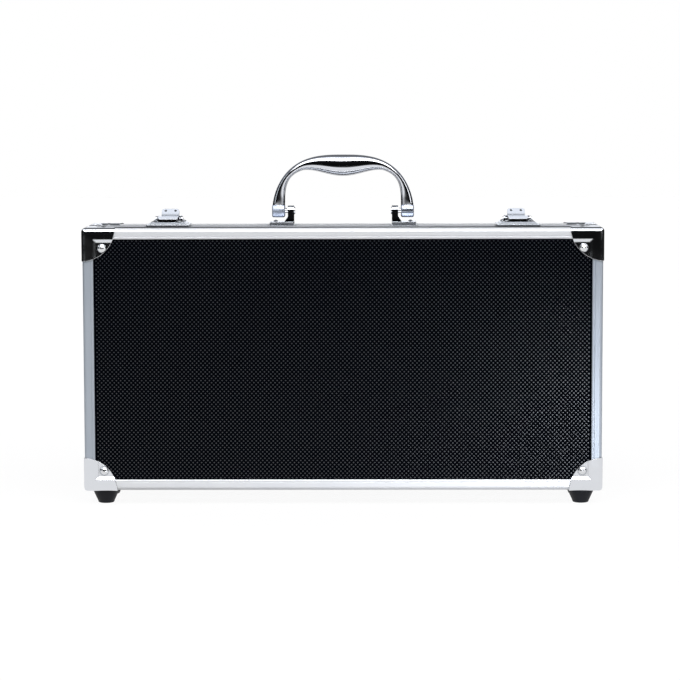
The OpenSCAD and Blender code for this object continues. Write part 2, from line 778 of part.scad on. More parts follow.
// Hook: a bar over the lever pin, with a boss on its own pin and a sloping nose in front of the strike's lug
module latch_hook(hand) {
    nose_in = -lug_y - nose_gap;
    nose_y = nose_in - hook_t;
    nose_low = latch_top + nose_gap;
    hook_top = hook_z + hook_t;
    rear = hook_pin_y + boss_r;
    color(CHROME) in_shell("base") at_latch(hand)
        intersection() {
            translate([-hook_w / 2, 0, 0]) rotate([90, 0, 90]) linear_extrude(height = hook_w)
                difference() {
                    union() {
                        polygon([[nose_y, nose_low], [nose_in, nose_low], [nose_in, hook_z - nose_inner],
                            [nose_in + nose_inner * nose_run / nose_rise, hook_z], [rear, hook_z],
                            [rear, hook_top], [nose_y + nose_run, hook_top], [nose_y, hook_top - nose_rise]]);
                        translate([hook_pin_y - boss_r, hook_pin_z])
                            square([2 * boss_r, hook_z - hook_pin_z + hook_t / 2]);
                        translate([hook_pin_y, hook_pin_z]) circle(boss_r);
                    }
                    translate([hook_pin_y, hook_pin_z]) circle(latch_pin_r + pin_gap);
                }
            translate([0, (nose_y + rear) / 2, 0]) linear_extrude(height = cut)
                round_rect(hook_w, rear - nose_y, hook_r);
        }
}

// Places children, drawn with x outwards from the middle and from the case's top surface, at one side
module at_handle(hand) {
    translate([0, handle_y, half_h])
        if (hand == "left") mirror([1, 0, 0]) children();
        else children();
}

module handle_bracket(hand) {
    y0 = seam_gap - handle_y;
    web_top = bracket_top + 1.5 * web_foot;
    color(CHROME) in_shell("base")
        difference() {
            at_handle(hand) {
                translate([bracket_x, 0, 0]) {
                    bevel_block(bracket_w + 2 * flange_lip, y0, bracket_l, bracket_flange_t, flange_bevel);
                    bevel_block(bracket_w, y0 + flange_lip, bracket_l - 2 * flange_lip, bracket_top,
                        latch_bevel);
                    translate([-bracket_w / 2, rim_w + board_gap - handle_y, -recess])
                        cube([bracket_w, bracket_l + seam_gap - rim_w - board_gap - flange_lip, recess]);
                }
                translate([bracket_in, 0, 0]) rotate([90, 0, 90]) linear_extrude(height = bracket_ear_t) {
                    translate([0, handle_pin_z]) circle(barrel_r);
                    translate([-barrel_r, bracket_flange_t])
                        square([2 * barrel_r, handle_pin_z - bracket_flange_t]);
                }
                translate([bracket_in + bracket_ear_t, barrel_r, 0]) rotate([90, 0, 0])
                    linear_extrude(height = 2 * barrel_r)
                        polygon([[-lap, bracket_flange_t], [web_foot, bracket_flange_t],
                            [web_foot, bracket_top], [0, web_top], [-lap, web_top]]);
            }
            at_handle(hand) translate([bracket_in - lap, 0, handle_pin_z]) rotate([0, 90, 0])
                cylinder(r = handle_pin_r + pin_gap, h = bracket_ear_t + 2 * lap);
            rivet_holes("base", "top");
        }
}

module handle_pins() {
    color(STEEL) in_shell("base")
        for (hand = HANDS)
            at_handle(hand) translate([bracket_in - pin_head_t, 0, handle_pin_z]) rotate([0, 90, 0]) {
                cylinder(r = handle_pin_r, h = pin_head_t + bracket_ear_t + ear_gap + pin_grip);
                cylinder(r = handle_pin_r + handle_head_lip, h = pin_head_t);
            }
}

// Handle: an arch with a swollen grip, on two ends that turn on the pins
module handle() {
    arch = [for (i = [0:arch_steps])
        arch_ring(arch_angle(arch_from + (180 - 2 * arch_from) * i / arch_steps))];
    rings = concat([end_ring(1)], arch, [end_ring(-1)]);
    n = arch_sides;
    bore_l = pin_grip + pin_end_gap + lap;
    last = len(rings) - 1;
    sides = [for (i = [0:last - 1], k = [0:n - 1]) let (a = i * n + k, b = i * n + (k + 1) % n)
        each [[a, b + n, b], [a, a + n, b + n]]];
    caps = [for (k = [1:n - 2]) each [[0, k, k + 1], [last * n, last * n + k + 1, last * n + k]]];
    color(CHROME) in_shell("base") translate([0, handle_y, half_h + handle_pin_z])
        difference() {
            union() {
                polyhedron(points = [for (r = rings) each r], faces = concat(sides, caps));
                for (s = [-1, 1])
                    intersection() {
                        translate([s * (leg_in + leg_out) / 2, cut, 0]) rotate([90, 0, 0])
                            linear_extrude(height = 2 * cut)
                                round_rect(leg_out - leg_in, 2 * lug_low, lug_corner_r);
                        translate([-case_w / 2, 0, 0]) rotate([90, 0, 90]) linear_extrude(height = case_w) {
                            circle(lug_r);
                            translate([-leg_depth / 2 - lug_shoulder, 0])
                                square([leg_depth + 2 * lug_shoulder, lug_top]);
                        }
                    }
            }
            for (s = [-1, 1])
                translate([s * (leg_in + bore_l / 2 - lap), 0, 0]) rotate([0, 90, 0])
                    cylinder(r = handle_pin_r + pin_gap, h = bore_l, center = true);
        }
}

panel("lid");  // lid_panel
edge("lid", "top");  // lid_edge_top
edge("lid", "bottom");  // lid_edge_bottom
edge("lid", "left");  // lid_edge_left
edge("lid", "right");  // lid_edge_right
wall_boards("lid");  // lid_wall_boards
closing_frame("lid");  // lid_closing_frame
lining("lid");  // lid_lining
corner("lid", "top", "left");  // lid_corner_top_left
corner("lid", "top", "right");  // lid_corner_top_right
corner("lid", "bottom", "left");  // lid_corner_bottom_left
corner("lid", "bottom", "right");  // lid_corner_bottom_right
corner_rivets("lid");  // lid_corner_rivets
foot("lid", "left");  // lid_foot_left
foot("lid", "right");  // lid_foot_right
foot_screws("lid");  // lid_foot_screws
hinge_leaf("lid", "left");  // lid_hinge_leaf_left
hinge_leaf("lid", "right");  // lid_hinge_leaf_right
hardware_rivets("lid");  // lid_hardware_rivets
panel("base");  // base_panel
edge("base", "top");  // base_edge_top
edge("base", "bottom");  // base_edge_bottom
edge("base", "left");  // base_edge_left
edge("base", "right");  // base_edge_right
wall_boards("base");  // base_wall_boards
closing_frame("base");  // base_closing_frame
lining("base");  // base_lining
corner("base", "top", "left");  // base_corner_top_left
corner("base", "top", "right");  // base_corner_top_right
corner("base", "bottom", "left");  // base_corner_bottom_left
corner("base", "bottom", "right");  // base_corner_bottom_right
corner_rivets("base");  // base_corner_rivets
foot("base", "left");  // base_foot_left
foot("base", "right");  // base_foot_right
foot_screws("base");  // base_foot_screws
hinge_leaf("base", "left");  // base_hinge_leaf_left
hinge_leaf("base", "right");  // base_hinge_leaf_right
hardware_rivets("base");  // base_hardware_rivets
hinge_pins();
latch_strike("left");  // latch_strike_left
latch_strike("right");  // latch_strike_right
latch_plate("left");  // latch_plate_left
latch_plate("right");  // latch_plate_right
latch_pins();
latch_lever("left");  // latch_lever_left
latch_lever("right");  // latch_lever_right
hook_pin("left");  // hook_pin_left
hook_pin("right");  // hook_pin_right
latch_hook("left");  // latch_hook_left
latch_hook("right");  // latch_hook_right
handle_bracket("left");  // handle_bracket_left
handle_bracket("right");  // handle_bracket_right
handle_pins();
handle();
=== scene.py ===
# Looks of a makeup case: black dimpled boards in an aluminium frame, with chromed fittings.
# Lengths are metres in the row frame: +X is the width, +Z is up, and the lid is on the -Y side of the seam.
import json
import math

import bmesh
import bpy
from mathutils import Euler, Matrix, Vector

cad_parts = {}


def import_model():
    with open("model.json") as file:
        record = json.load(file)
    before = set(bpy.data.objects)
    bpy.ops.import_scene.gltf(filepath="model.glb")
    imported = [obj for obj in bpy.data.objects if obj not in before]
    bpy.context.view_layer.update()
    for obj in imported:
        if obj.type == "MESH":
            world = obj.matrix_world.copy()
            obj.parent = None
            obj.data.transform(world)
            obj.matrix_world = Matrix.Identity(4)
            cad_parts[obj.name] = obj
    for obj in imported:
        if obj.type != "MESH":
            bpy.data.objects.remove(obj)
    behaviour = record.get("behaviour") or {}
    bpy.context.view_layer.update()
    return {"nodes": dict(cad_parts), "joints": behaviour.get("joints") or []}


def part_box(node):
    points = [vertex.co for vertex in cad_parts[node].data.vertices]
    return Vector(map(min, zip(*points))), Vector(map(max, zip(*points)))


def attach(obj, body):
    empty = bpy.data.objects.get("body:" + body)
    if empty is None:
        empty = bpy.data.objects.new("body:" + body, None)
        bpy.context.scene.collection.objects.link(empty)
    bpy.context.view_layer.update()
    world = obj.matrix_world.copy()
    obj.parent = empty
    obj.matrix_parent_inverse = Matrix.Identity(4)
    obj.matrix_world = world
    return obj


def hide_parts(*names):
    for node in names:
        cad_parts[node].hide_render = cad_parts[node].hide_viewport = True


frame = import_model()
NODES = frame["nodes"]
SHELLS = {"lid": -1, "base": 1}  # each shell's side of the seam
HANDS = ("left", "right")

# Camera, fitted to the photograph, whose frame is square
CAMERA_AT = Vector((0.0206, -2.151, 0.3453))
CAMERA_YAW = math.radians(-0.62)
CAMERA_PITCH = math.radians(5.61)  # downwards
CAMERA_ROLL = math.radians(-0.13)
CAMERA_LENS = 135.8  # millimetres
CAMERA_SENSOR = 36
CAMERA_FAR = 50


def make_camera():
    data = bpy.data.cameras.new("camera")
    data.lens = CAMERA_LENS
    data.sensor_width = CAMERA_SENSOR
    data.clip_end = CAMERA_FAR
    camera = bpy.data.objects.new("camera", data)
    bpy.context.scene.collection.objects.link(camera)
    forward = Vector((math.sin(CAMERA_YAW) * math.cos(CAMERA_PITCH),
                      math.cos(CAMERA_YAW) * math.cos(CAMERA_PITCH), -math.sin(CAMERA_PITCH)))
    turn = forward.to_track_quat("-Z", "Y") @ Euler((0, 0, CAMERA_ROLL)).to_quaternion()
    camera.location = CAMERA_AT
    camera.rotation_euler = turn.to_euler()
    bpy.context.scene.camera = camera


# Helpers for node trees
def node(tree, kind, **values):
    """New shader node. Each value goes to its property or, where it has none of that name, to its socket."""
    made = tree.nodes.new("ShaderNode" + kind)
    for key, value in values.items():
        if hasattr(made, key):
            setattr(made, key, value)
        else:
            made.inputs[key].default_value = value
    return made


def link(tree, source, target):
    tree.links.new(source, target)


def ranged(tree, source, low, high, from_low=0.3, from_high=0.7):
    """A value moved to a new range. The middle of a noise is where it starts by default."""
    made = node(tree, "MapRange")
    for socket, value in (("From Min", from_low), ("From Max", from_high), ("To Min", low), ("To Max", high)):
        made.inputs[socket].default_value = value
    link(tree, source, made.inputs["Value"])
    return made.outputs["Result"]


def calculated(tree, operation, source, other):
    """Result of one sum on a socket and either a number or a second socket."""
    made = node(tree, "Math", operation=operation)
    link(tree, source, made.inputs[0])
    if isinstance(other, (int, float)):
        made.inputs[1].default_value = other
    else:
        link(tree, other, made.inputs[1])
    return made.outputs["Value"]


def mixed(tree, factor, first, second):
    """Mix of two colours, each of them a socket or a fixed colour."""
    made = node(tree, "Mix", data_type="RGBA")
    link(tree, factor, made.inputs["Factor"])
    for socket, colour in (("A", first), ("B", second)):
        if isinstance(colour, tuple):
            made.inputs[socket].default_value = (*colour, 1)
        else:
            link(tree, colour, made.inputs[socket])
    return made.outputs["Result"]


def ramp_of(tree, source, stops, tint=(1, 1, 1)):
    """Colour over a value from 0 to 1, with a stop for each place and level."""
    made = node(tree, "ValToRGB")
    elements = made.color_ramp.elements
    while len(elements) < len(stops):
        elements.new(0.5)
    for element, (place, level) in zip(elements, stops):
        element.position = place
        element.color = tuple(level * share for share in tint) + (1,)
    link(tree, source, made.inputs["Fac"])
    return made.outputs["Color"]


# Materials
EVEN = (1, 1, 1)  # a noise that isn't stretched
# Cells of the noises to the metre
DIE_LINES, DIE_LINE_RUN, METAL_CLOUDS = 900.0, 6.0, 22.0
SMUDGES, DENTS = 60.0, 180.0
SKIN_GRAIN, SKIN_CLOUDS = 2600.0, 14.0
NAP, BRUSH_MARKS = 1800.0, 35.0
RUBBER_GRAIN, DUST = 1500.0, 120.0
# Depths of their relief
LINE_DEPTH = 0.00003
DENT_DEPTH = 0.00004
SKIN_DEPTH = 0.00003
NAP_DEPTH = 0.00020
RUBBER_DEPTH = 0.00006
# Painted shade: the colour that recesses are darkened to, which stands in for the shade that falls in them
RECESS_SHADE = (0.030, 0.035, 0.045)
FULL_SHADE_TO, NO_SHADE_FROM = 0.72, 0.97  # how much of the space round a face is open where the painted shade is full, and where it ends
SHADE_SAMPLES, EDGE_SAMPLES = 6, 4


def material(name, colour, roughness, metallic=0.0, specular=0.5):
    made = bpy.data.materials.new(name)
    made.use_nodes = True
    tree = made.node_tree
    shader = tree.nodes["Principled BSDF"]
    shader.inputs["Base Color"].default_value = (*colour, 1)
    shader.inputs["Roughness"].default_value = roughness
    shader.inputs["Metallic"].default_value = metallic
    shader.inputs["Specular IOR Level"].default_value = specular
    return made, tree, shader


def noise(tree, stretch, scale, detail=3.0, rough=0.55):
    """Noise over the row frame's coordinates, stretched by the three factors."""
    place = node(tree, "TexCoord")
    mapping = node(tree, "Mapping", Scale=stretch)
    made = node(tree, "TexNoise", Scale=scale, Detail=detail, Roughness=rough)
    link(tree, place.outputs["Object"], mapping.inputs["Vector"])
    link(tree, mapping.outputs["Vector"], made.inputs["Vector"])
    return made.outputs["Fac"]


def cloudy(tree, clouds, dark, light):
    """Colour that drifts between two shades."""
    return mixed(tree, ranged(tree, clouds, 0, 1), dark, light)


def with_recess_shade(tree, reach, skin):
    """A colour with painted shade in the recesses that are smaller than its reach: the less of the space round
    a face is open, the darker it is painted.
    """
    recess = node(tree, "AmbientOcclusion", samples=SHADE_SAMPLES, Distance=reach)
    return mixed(tree, ranged(tree, recess.outputs["AO"], 1, 0, FULL_SHADE_TO, NO_SHADE_FROM), skin, RECESS_SHADE)


def bumped(tree, shader, height, strength, depth, round_edges=0.0):
    bump = node(tree, "Bump", Strength=strength, Distance=depth)
    link(tree, height, bump.inputs["Height"])
    if round_edges:
        bevel = node(tree, "Bevel", samples=EDGE_SAMPLES, Radius=round_edges)
        link(tree, bevel.outputs["Normal"], bump.inputs["Normal"])
    link(tree, bump.outputs["Normal"], shader.inputs["Normal"])


def satin_aluminium(name, along, metallic, dark, light, shade_reach=0.0):
    """Anodised extrusion with die lines along one axis of the row frame, and painted shade in its recesses when
    it has a shade reach.
    """
    made, tree, shader = material(name, light, roughness=0.38, metallic=metallic)
    stretch = [DIE_LINE_RUN if axis == along else DIE_LINES for axis in "xyz"]
    lines = noise(tree, stretch, scale=1.0, detail=2.0)
    skin = cloudy(tree, noise(tree, EVEN, METAL_CLOUDS), dark, light)
    # Painted shade in the recesses
    if shade_reach:
        skin = with_recess_shade(tree, shade_reach, skin)
    link(tree, ranged(tree, lines, low=0.33, high=0.45), shader.inputs["Roughness"])
    link(tree, skin, shader.inputs["Base Color"])
    bumped(tree, shader, lines, strength=0.25, depth=LINE_DEPTH, round_edges=0.0003)
    return made


def chrome(name, colour, smear=0.05, edge=0.0003, shade_reach=0.0, dented=0.12):
    """Chrome or nickel with faint smudges, soft dents and rounded edges, and painted shade in its recesses when
    it has a shade reach.
    """
    made, tree, shader = material(name, colour, roughness=smear, metallic=1.0)
    # Painted shade in the recesses
    if shade_reach:
        link(tree, with_recess_shade(tree, shade_reach, colour), shader.inputs["Base Color"])
    smudges = noise(tree, EVEN, SMUDGES, detail=4.0)
    link(tree, ranged(tree, smudges, low=0.6 * smear, high=2.2 * smear), shader.inputs["Roughness"])
    dents = noise(tree, EVEN, DENTS, detail=1.0)
    bumped(tree, shader, dents, strength=dented, depth=DENT_DEPTH, round_edges=edge)
    return made


def board_skin(name, dark, light, roughness, specular):
    """Black moulded skin of the boards, with a fine pebble and cloudy gloss."""
    made, tree, shader = material(name, dark, roughness=roughness, specular=specular)
    grain = noise(tree, EVEN, SKIN_GRAIN, detail=2.0)
    clouds = noise(tree, EVEN, SKIN_CLOUDS)
    gloss = ranged(tree, clouds, low=roughness - 0.04, high=roughness + 0.05)
    link(tree, gloss, shader.inputs["Roughness"])
    link(tree, cloudy(tree, grain, dark, light), shader.inputs["Base Color"])
    bumped(tree, shader, grain, strength=0.10, depth=SKIN_DEPTH)
    return made


def lining_cloth():
    """Flocked black cloth with a short, uneven nap."""
    made, tree, shader = material("lining_cloth", (0.012, 0.012, 0.014), roughness=0.95, specular=0.15)
    shader.inputs["Sheen Weight"].default_value = 0.15
    shader.inputs["Sheen Roughness"].default_value = 0.6
    brushed = noise(tree, (1, 1, 3), BRUSH_MARKS)
    cloth = cloudy(tree, brushed, dark=(0.009, 0.009, 0.011), light=(0.020, 0.020, 0.024))
    link(tree, cloth, shader.inputs["Base Color"])
    bumped(tree, shader, noise(tree, EVEN, NAP, detail=4.0), strength=0.6, depth=NAP_DEPTH)
    return made


def foot_rubber():
    """Matte moulded rubber with a little dust."""
    made, tree, shader = material("foot_rubber", (0.008, 0.009, 0.012), roughness=0.5, specular=0.25)
    dust = noise(tree, EVEN, DUST)
    rubber = cloudy(tree, dust, dark=(0.005, 0.006, 0.009), light=(0.011, 0.012, 0.017))
    link(tree, ranged(tree, dust, low=0.42, high=0.62), shader.inputs["Roughness"])
    link(tree, rubber, shader.inputs["Base Color"])
    grain = noise(tree, EVEN, RUBBER_GRAIN)
    bumped(tree, shader, grain, strength=0.3, depth=RUBBER_DEPTH, round_edges=0.0004)
    return made


ALUMINIUM_X = satin_aluminium("satin_aluminium_x", "x", metallic=0.25,
                              dark=(0.87, 0.885, 0.92), light=(0.92, 0.93, 0.95))
# Painted shade: the side frames take a darker, bluer copy of the top and bottom frames' aluminium, for the
# shade that falls on the sides
SHADED_ALUMINIUM_Z = satin_aluminium("shaded_satin_aluminium_z", "z", metallic=0.40,
                              dark=(0.48, 0.53, 0.60), light=(0.53, 0.58, 0.65))
# The seam's profile, the corners and the fittings get painted shade in their recesses
SEAM_ALUMINIUM = satin_aluminium("seam_aluminium", "x", metallic=0.60,
                                 dark=(0.66, 0.68, 0.72), light=(0.74, 0.76, 0.80), shade_reach=0.003)
CORNER_CHROME = chrome("corner_chrome", (0.80, 0.82, 0.86), edge=0.0006, shade_reach=0.0015, dented=0.05)
FITTING_CHROME = chrome("fitting_chrome", (0.86, 0.89, 0.94), edge=0.0002, shade_reach=0.003, dented=0.06)
HANDLE_CHROME = chrome("handle_chrome", (0.78, 0.80, 0.85), edge=0.0004)
# Painted reflection: the handle's ends are a darker, bluer copy of its chrome, which paints the blue-grey they
# reflect; their satin roughness is their own
LUG_SATIN_PAINTED_REFLECTION = chrome("lug_satin_painted_reflection", (0.50, 0.55, 0.66), smear=0.30)
RIVET_NICKEL = chrome("rivet_nickel", (0.80, 0.81, 0.83), smear=0.12, edge=0.0001, dented=0.02)
HINGE_ZINC = chrome("hinge_zinc", (0.66, 0.69, 0.74), smear=0.16)
SKIN_DARK, SKIN_LIGHT = (0.0004, 0.0008, 0.0018), (0.0010, 0.0016, 0.0034)
BOARD = board_skin("board_skin", SKIN_DARK, SKIN_LIGHT, roughness=0.62, specular=0.01)
# Painted highlight: the panel's dots are lighter and bluer than the skin they are moulded in, which paints part
# of their highlight; their gloss is their own
BOARD_DOT_PAINTED_HIGHLIGHT = board_skin("board_dot_painted_highlight", (0.003, 0.005, 0.010), (0.006, 0.009, 0.017),
                       roughness=0.30, specular=1.0)
WALL_SKIN = board_skin("wall_skin", SKIN_DARK, SKIN_LIGHT, roughness=0.62, specular=0.0)
# Painted highlight: the walls' dots are lighter than the walls' skin, which paints part of their highlight
WALL_DOT_PAINTED_HIGHLIGHT = board_skin("wall_dot_painted_highlight", (0.002, 0.003, 0.006), (0.004, 0.006, 0.011),
                      roughness=0.50, specular=0.15)
LINING = lining_cloth()
RUBBER = foot_rubber()

# What a CAD node is made of, by words in its name; the first line that fits counts
MADE_OF = (
    (("handle_bracket",), FITTING_CHROME),
    (("rivets", "screws", "latch_pins", "hook_pin", "handle_pins"), RIVET_NICKEL),
    (("corner_",), CORNER_CHROME),
    (("edge_left", "edge_right"), SHADED_ALUMINIUM_Z),
    (("edge_",), ALUMINIUM_X),
    (("closing_frame",), SEAM_ALUMINIUM),
    (("hinge",), HINGE_ZINC),
    (("foot",), RUBBER),
    (("panel",), BOARD),
    (("boards",), WALL_SKIN),
    (("lining",), LINING),
    (("handle",), HANDLE_CHROME),
    (("latch_",), FITTING_CHROME),
)


def dress(name):
    made = next(made for words, made in MADE_OF if any(word in name for word in words))
    NODES[name].data.materials.clear()
    NODES[name].data.materials.append(made)


def add_piece(name, points, faces, made, body):
    mesh = bpy.data.meshes.new(name)
    mesh.from_pydata([tuple(p) for p in points], [], [tuple(f) for f in faces])
    mesh.materials.append(made)
    mesh.polygons.foreach_set("use_smooth", [True] * len(mesh.polygons))
    mesh.update()
    piece = bpy.data.objects.new(name, mesh)
    bpy.context.scene.collection.objects.link(piece)
    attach(piece, body)
    return piece


def sharpen(piece, angle):
    """Marks the edges whose faces meet more steeply than the angle, so that only the others look smooth."""
    mesh = piece.data
    normals = {}
    for polygon in mesh.polygons:
        for key in polygon.edge_keys:
            normals.setdefault(key, []).append(polygon.normal)
    for edge in mesh.edges:
        around = normals.get(edge.key, [])
        if len(around) == 2 and around[0].angle(around[1], 0) > angle:
            edge.use_edge_sharp = True


# Dimpled boards
DOT_PITCH = 0.0035  # between dots along a row
ROW_PITCH = 0.0018
DOT_R = 0.00075
DOT_H = 0.00021
DOT_MARGIN = 0.0006  # bare strip between the dots and the frame
WHOLE_CELL = 0.75  # share of its width that a cell at the end of a row needs to carry a dot
SAME_POINT = 1e6  # points in the same micrometre are one
BOARD_SHARP = math.radians(35)
WALL_T = 0.0032
WALL_GAP = 0.0001  # between a side wall's board and the ends of the others
FITTING_MARGIN = 0.0008  # bare strip round a fitting
FLAP_LAP = 0.0006  # how far the dots reach in under a corner's flap
# The space that the two shells fill, and the reach of a corner's flap
CASE_LOW = Vector((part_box("base_closing_frame")[0].x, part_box("lid_edge_left")[0].y,
                   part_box("base_edge_bottom")[0].z))
CASE_HIGH = Vector((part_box("base_closing_frame")[1].x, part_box("base_edge_right")[1].y,
                    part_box("base_edge_top")[1].z))
FLAP_REACH = (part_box("base_corner_top_left")[1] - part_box("base_corner_top_left")[0]).x
# Axis and sign of each wall's face
WALLS = {"left": (0, -1), "right": (0, 1), "bottom": (2, -1), "top": (2, 1)}
# Fittings that lie on the walls
ON_WALLS = {
    ("lid", "top"): ("latch_strike_",),
    ("base", "top"): ("latch_plate_", "handle_bracket_"),
    ("lid", "bottom"): ("lid_foot_",),
    ("base", "bottom"): ("base_foot_",),
}


class Sheet:
    """Collects the vertices and faces of a mesh and joins the vertices that meet."""

    def __init__(self):
        self.points, self.faces, self.known = [], [], {}
        self.dots = []  # numbers of the faces on dots

    def at(self, u, v, h=0.0):
        key = tuple(round(value * SAME_POINT) for value in (u, v, h))
        if key not in self.known:
            self.known[key] = len(self.points)
            self.points.append((u, v, h))
        return self.known[key]

    def loop(self, *places):
        return [self.at(*place) for place in places]

    def dot(self, ring, u, v):
        """Four slopes of a raised dot, and the flat skin between it and the ring of its cell."""
        low, right, high, left = self.loop((u, v - DOT_R), (u + DOT_R, v), (u, v + DOT_R), (u - DOT_R, v))
        top = self.at(u, v, DOT_H)
        self.faces += [[ring[0], ring[1], low, left], [ring[1], ring[2], right, low],
                       [ring[2], ring[3], right], [ring[3], ring[4], high, right],
                       [ring[4], ring[5], left, high], [ring[5], ring[0], left]]
        slopes = [[low, right, top], [right, high, top], [high, left, top], [left, low, top]]
        self.dots += range(len(self.faces), len(self.faces) + len(slopes))
        self.faces += slopes

    def close(self, loop, grow_u, grow_v, thickness):
        """Border round the dots, the sides and the back."""
        for (ua, va), (ub, vb) in zip(loop, loop[1:] + loop[:1]):
            a, b = self.loop((ua, va), (ub, vb))
            far_a, far_b = (ua * grow_u, va * grow_v), (ub * grow_u, vb * grow_v)
            outer_b, outer_a = self.loop(far_b, far_a)
            back_a, back_b = self.loop((*far_a, -thickness), (*far_b, -thickness))
            self.faces += [[b, a, outer_a, outer_b], [outer_b, outer_a, back_a, back_b]]
        self.faces.append([self.at(u * grow_u, v * grow_v, -thickness) for u, v in reversed(loop)])


def dimpled_board(width, height, thickness, dots_w, dots_h, dot_at):
    """Closed board in u, v and h. Its front is at h = 0, with staggered dots inside dots_w by dots_h."""
    sheet = Sheet()
    columns = max(1, round(dots_w / DOT_PITCH))
    rows = max(1, round(dots_h / ROW_PITCH))
    cell_w, cell_h = dots_w / columns, dots_h / rows
    for row in range(rows):
        odd = row % 2
        v0 = -dots_h / 2 + row * cell_h
        v1, vc = v0 + cell_h, v0 + cell_h / 2
        for column in range(columns + odd):
            u0 = max(-dots_w / 2, -dots_w / 2 + (column - odd / 2) * cell_w)
            u1 = min(dots_w / 2, -dots_w / 2 + (column - odd / 2 + 1) * cell_w)
            uc = (u0 + u1) / 2
            if u1 - u0 <= WHOLE_CELL * cell_w:
                sheet.faces.append(sheet.loop((u0, v0), (u1, v0), (u1, v1), (u0, v1)))
                continue
            ring = sheet.loop((u0, v0), (uc, v0), (u1, v0), (u1, v1), (uc, v1), (u0, v1))
            if dot_at(uc, vc):
                sheet.dot(ring, uc, vc)
            else:
                sheet.faces.append(ring)
    step_u = [-dots_w / 2 + i * cell_w / 2 for i in range(2 * columns + 1)]
    step_v = [-dots_h / 2 + i * cell_h for i in range(rows + 1)]
    loop = ([(u, -dots_h / 2) for u in step_u] + [(dots_w / 2, v) for v in step_v[1:]]
            + [(u, dots_h / 2) for u in step_u[-2::-1]] + [(-dots_w / 2, v) for v in step_v[-2:0:-1]])
    sheet.close(loop, width / dots_w, height / dots_h, thickness)
    return sheet


def middle(low, high):
    return (low + high) / 2


def under_fitting(boxes, point, flat):
    """True where one of the boxes lies over this point of a board, seen along its two long directions."""
    return any(all(low[i] - FITTING_MARGIN < point[i] < high[i] + FITTING_MARGIN for i in flat)
               for low, high in boxes)


def under_flap(point, flat):
    """True under a corner protector's flap, which is a quarter disc in the two directions of its face."""
    gaps = [min(abs(point[i] - CASE_LOW[i]), abs(point[i] - CASE_HIGH[i])) for i in flat]
    return math.hypot(*gaps) < FLAP_REACH - FLAP_LAP


def add_board(name, low, high, window_low, window_high, out, covers, body, skins):
    """Board between two corners, dimpled inside a window on its face that looks along out.

    Out is an axis and a sign. The nodes in covers lie on the board. Skins are for the board and its dots.
    """
    axis, sign = out
    flat = [i for i in range(3) if i != axis]
    u_axis, v_axis = flat
    size = high - low
    centre = middle(low, high)
    window = (window_high - window_low) - Vector((2 * DOT_MARGIN,) * 3)
    boxes = [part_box(n) for n in covers]

    def world(u, v, h):
        point = Vector(centre)
        point[u_axis] += u
        point[v_axis] += v
        point[axis] = (high[axis] if sign > 0 else low[axis]) + sign * h
        return point

    def dot_at(u, v):
        point = world(u, v, 0)
        return not (under_fitting(boxes, point, flat) or under_flap(point, flat))

    board = dimpled_board(size[u_axis], size[v_axis], size[axis], window[u_axis], window[v_axis], dot_at)
    faces = board.faces
    if (sign < 0) != (axis == 1):  # u, v and h are left-handed in the row frame
        faces = [face[::-1] for face in faces]
    piece = add_piece(name, [world(*p) for p in board.points], faces, skins[0], body)
    piece.data.materials.append(skins[1])
    for face in board.dots:
        piece.data.polygons[face].material_index = 1
    return piece


def make_panel(shell):
    low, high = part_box(shell + "_panel")
    window_low = Vector((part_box(shell + "_edge_left")[1].x, 0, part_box(shell + "_edge_bottom")[1].z))
    window_high = Vector((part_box(shell + "_edge_right")[0].x, 0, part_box(shell + "_edge_top")[0].z))
    piece = add_board(shell + "_dimpled_panel", low, high, window_low, window_high, (1, SHELLS[shell]), (),
                      shell, (BOARD, BOARD_DOT_PAINTED_HIGHLIGHT))
    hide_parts(shell + "_panel")
    sharpen(piece, BOARD_SHARP)


def make_walls(shell):
    """Four wall boards: the side ones run the whole height, the others lie between them."""
    low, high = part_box(shell + "_wall_boards")
    outer = 1 if shell == "base" else 0  # which corner of a box is away from the seam
    y_window = sorted((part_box(shell + "_closing_frame")[outer].y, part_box(shell + "_edge_top")[1 - outer].y))
    pieces = []
    for side, (axis, sign) in WALLS.items():
        part_low, part_high = low.copy(), high.copy()
        if axis == 2:
            part_low.x += WALL_T + WALL_GAP
            part_high.x -= WALL_T + WALL_GAP
        if sign < 0:
            part_high[axis] = part_low[axis] + WALL_T
        else:
            part_low[axis] = part_high[axis] - WALL_T
        window_low, window_high = part_low.copy(), part_high.copy()
        window_low.y, window_high.y = y_window
        covers = [fitting + hand for fitting in ON_WALLS.get((shell, side), ()) for hand in HANDS]
        pieces.append(add_board(f"{shell}_{side}_wall_board", part_low, part_high, window_low, window_high,
                                (axis, sign), covers, shell, (WALL_SKIN, WALL_DOT_PAINTED_HIGHLIGHT)))
    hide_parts(shell + "_wall_boards")
    for piece in pieces:
        sharpen(piece, BOARD_SHARP)


# Skins over rings of points
SKIN_SHARP = math.radians(50)


def bands(rings):
    """Points and faces of the bands between rings with equally many points."""
    count = len(rings[0])
    points = [point for ring in rings for point in ring]
    faces = []
    for start in range(0, len(points) - count, count):
        for k in range(count):
            after = (k + 1) % count
            faces.append((start + k, start + after, start + count + after, start + count + k))
    return points, faces


def loft(rings):
    """Bands that are capped at both ends."""
    count = len(rings[0])
    points, faces = bands(rings)
    faces += [tuple(range(count))[::-1], tuple(range(len(points) - count, len(points)))]
    return points, faces


def joined(skins):
    """Points and faces of several skins as those of one."""
    points, faces = [], []
    for more, skin in skins:
        faces += [tuple(corner + len(points) for corner in face) for face in skin]
        points += more
    return points, faces


def quarter_turn(steps):
    """Angles from 0 to 90 degrees."""
    return [math.pi / 2 * k / steps for k in range(steps + 1)]


